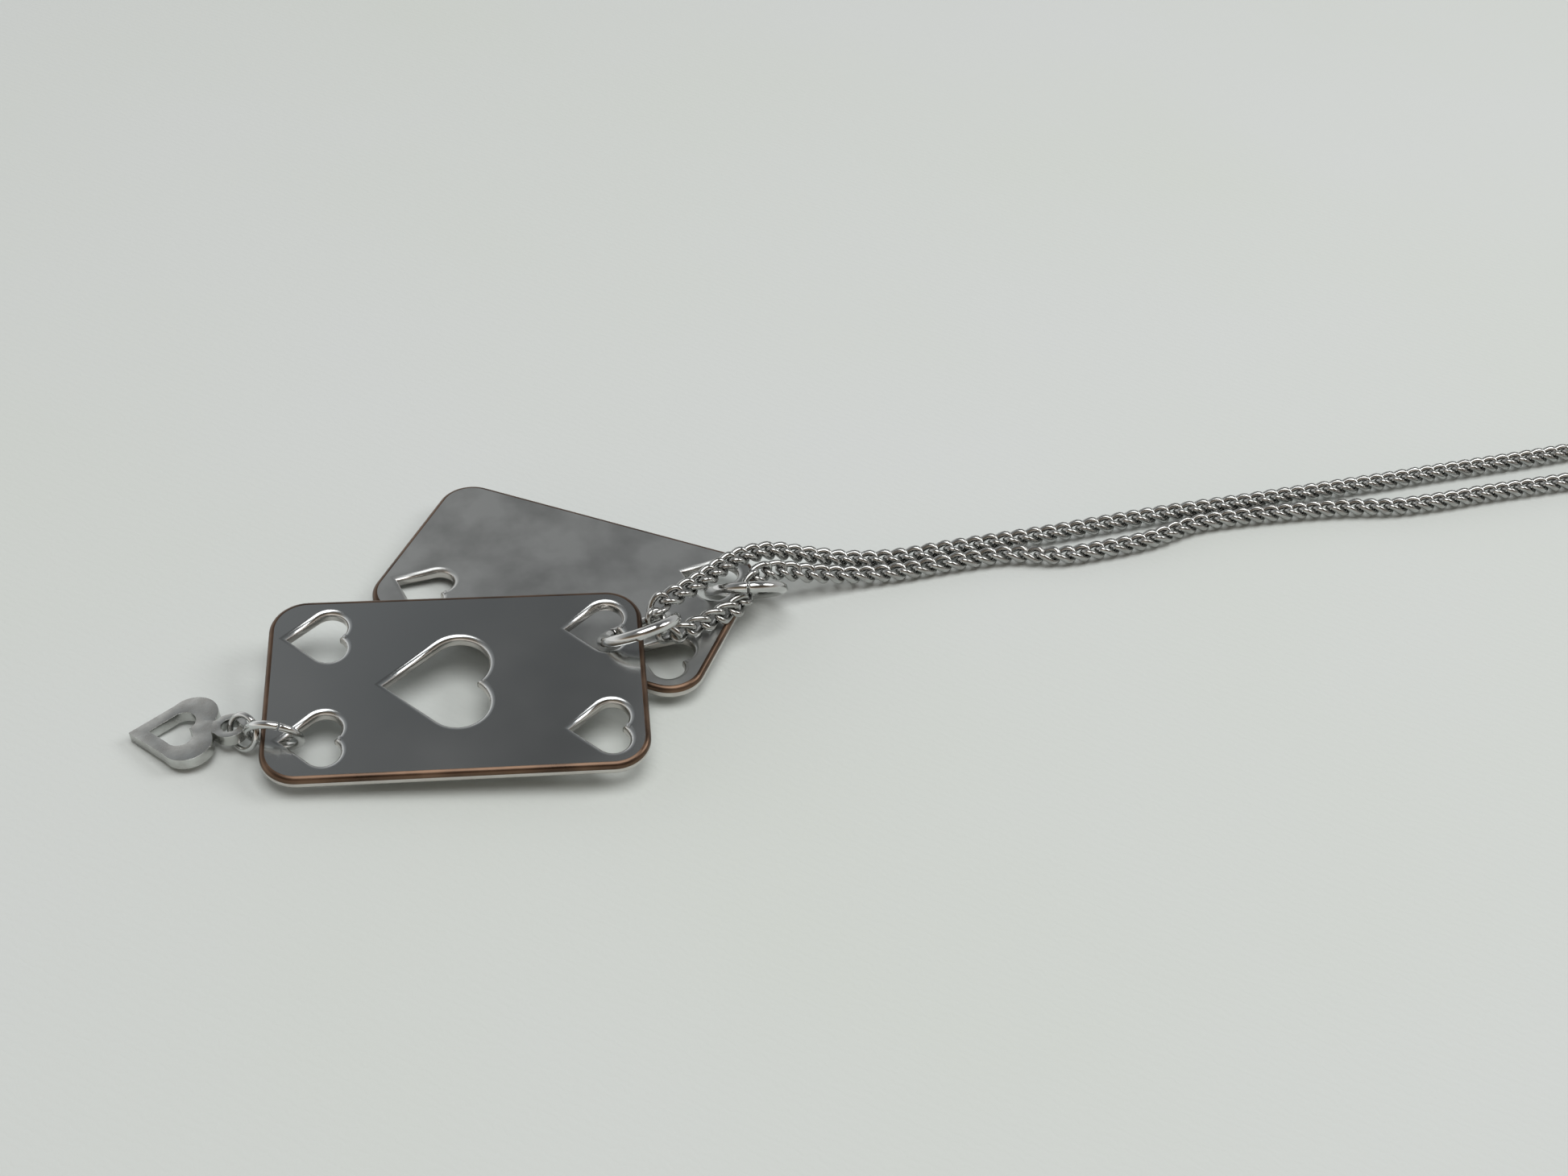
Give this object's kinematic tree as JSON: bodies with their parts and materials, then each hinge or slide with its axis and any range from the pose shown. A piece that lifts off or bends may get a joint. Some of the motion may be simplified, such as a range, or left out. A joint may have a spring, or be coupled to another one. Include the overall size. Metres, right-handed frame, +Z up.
{
  "type": "necklace",
  "caption": "Pendant necklace: playing-card plates with heart cut-outs on jump rings, a pierced spade charm, and a curb chain with a lobster clasp, laid out flat.",
  "frame": {"origin": "the point of the surface it lies on, under the middle of the back plate", "axes": "+X runs along the chain from the pendants to the clasp, +Z is up"},
  "size_m": [0.2656, 0.0513, 0.0095],
  "materials": {
    "polished_plate": "polished grey silver with soft rounded edges",
    "satin_plate": "satin grey silver, faintly mottled",
    "charm_metal": "polished grey silver",
    "ring_wire": "bright polished wire",
    "curb_chain": "dark polished links",
    "clasp_metal": "polished",
    "clasp_steel": "plain steel"
  },
  "bodies": {
    "chain": {"strand_back_near": "curb_chain", "strand_back_far": "curb_chain", "strand_front_near": "curb_chain", "strand_front_far": "curb_chain", "chain_turn": "curb_chain", "back_end_link": "curb_chain", "front_end_link": "curb_chain"},
    "front_ring": {"front_ring": "ring_wire"},
    "front_plate": {"front_plate": "polished_plate"},
    "back_plate": {"back_plate": "satin_plate"},
    "back_ring": {"back_ring": "ring_wire"},
    "charm_hoop": {"charm_hoop": "ring_wire"},
    "charm_ring": {"charm_ring": "ring_wire"},
    "charm": {"charm": "charm_metal"},
    "clasp_ring": {"clasp_ring": "ring_wire"},
    "clasp": {"clasp_body": "clasp_metal", "clasp_pin": "clasp_steel", "clasp_spring": "clasp_steel"},
    "clasp_lever": {"clasp_lever": "clasp_metal"},
    "end_ring": {"end_ring": "ring_wire"}
  },
  "joints": [
    {"name": "front_ring_lift", "type": "hinge", "parent": "chain", "child": "front_ring", "pos_m": [0.00855, -0.0125, 0.00625], "axis": [-0.2142, 0.747, -0.6293], "range_deg": [0, 25]},
    {"name": "front_plate_turn", "type": "hinge", "parent": "front_ring", "child": "front_plate", "pos_m": [0.0045, -0.01365, 0.00625], "axis": [-0.1735, 0.6049, 0.7771], "range_deg": [0, 25]},
    {"name": "back_plate_fan", "type": "hinge", "parent": "chain", "child": "back_plate", "pos_m": [0.0194, -0.0083, 0.00495], "axis": [-0.0567, -0.0212, 0.9982], "range_deg": [-5, 5]},
    {"name": "back_ring_turn", "type": "hinge", "parent": "back_plate", "child": "back_ring", "pos_m": [0.0192, -0.00755, 0.0038], "axis": [-0.1249, -0.7084, -0.6947], "continuous": true},
    {"name": "charm_hoop_turn", "type": "hinge", "parent": "front_plate", "child": "charm_hoop", "pos_m": [-0.03535, -0.0168, 0.00305], "axis": [0.3707, 0.8422, 0.3914], "range_deg": [0, 20]},
    {"name": "charm_ring_turn", "type": "hinge", "parent": "charm_hoop", "child": "charm_ring", "pos_m": [-0.0382, -0.0148, 0.00235], "axis": [0.7438, 0.5189, -0.4213], "range_deg": [0, 30]},
    {"name": "charm_swing", "type": "hinge", "parent": "charm_ring", "child": "charm", "pos_m": [-0.03925, -0.0137, 0.0013], "axis": [-0.1141, 0.0316, 0.993], "range_deg": [-20, 20]},
    {"name": "clasp_ring_lift", "type": "hinge", "parent": "chain", "child": "clasp_ring", "pos_m": [0.20325, -0.0025, 0.00213], "axis": [0, -1, 0], "range_deg": [0, 45]},
    {"name": "clasp_swing", "type": "hinge", "parent": "clasp_ring", "child": "clasp", "pos_m": [0.20495, -0.0025, 0.00123], "axis": [0.0698, 0, 0.9976], "range_deg": [-30, 30]},
    {"name": "clasp_gate", "type": "hinge", "parent": "clasp", "child": "clasp_lever", "pos_m": [0.21105, -0.00065, 0.00171], "axis": [-0.0698, 0, -0.9976], "range_deg": [0, 20], "stiffness_Nm_per_rad": 0.0002, "springref_deg": -11.46},
    {"name": "end_ring_turn", "type": "hinge", "parent": "chain", "child": "end_ring", "pos_m": [0.20195, -0.0125, 0.0022], "axis": [0, -0.788, 0.6157], "continuous": true}
  ]
}
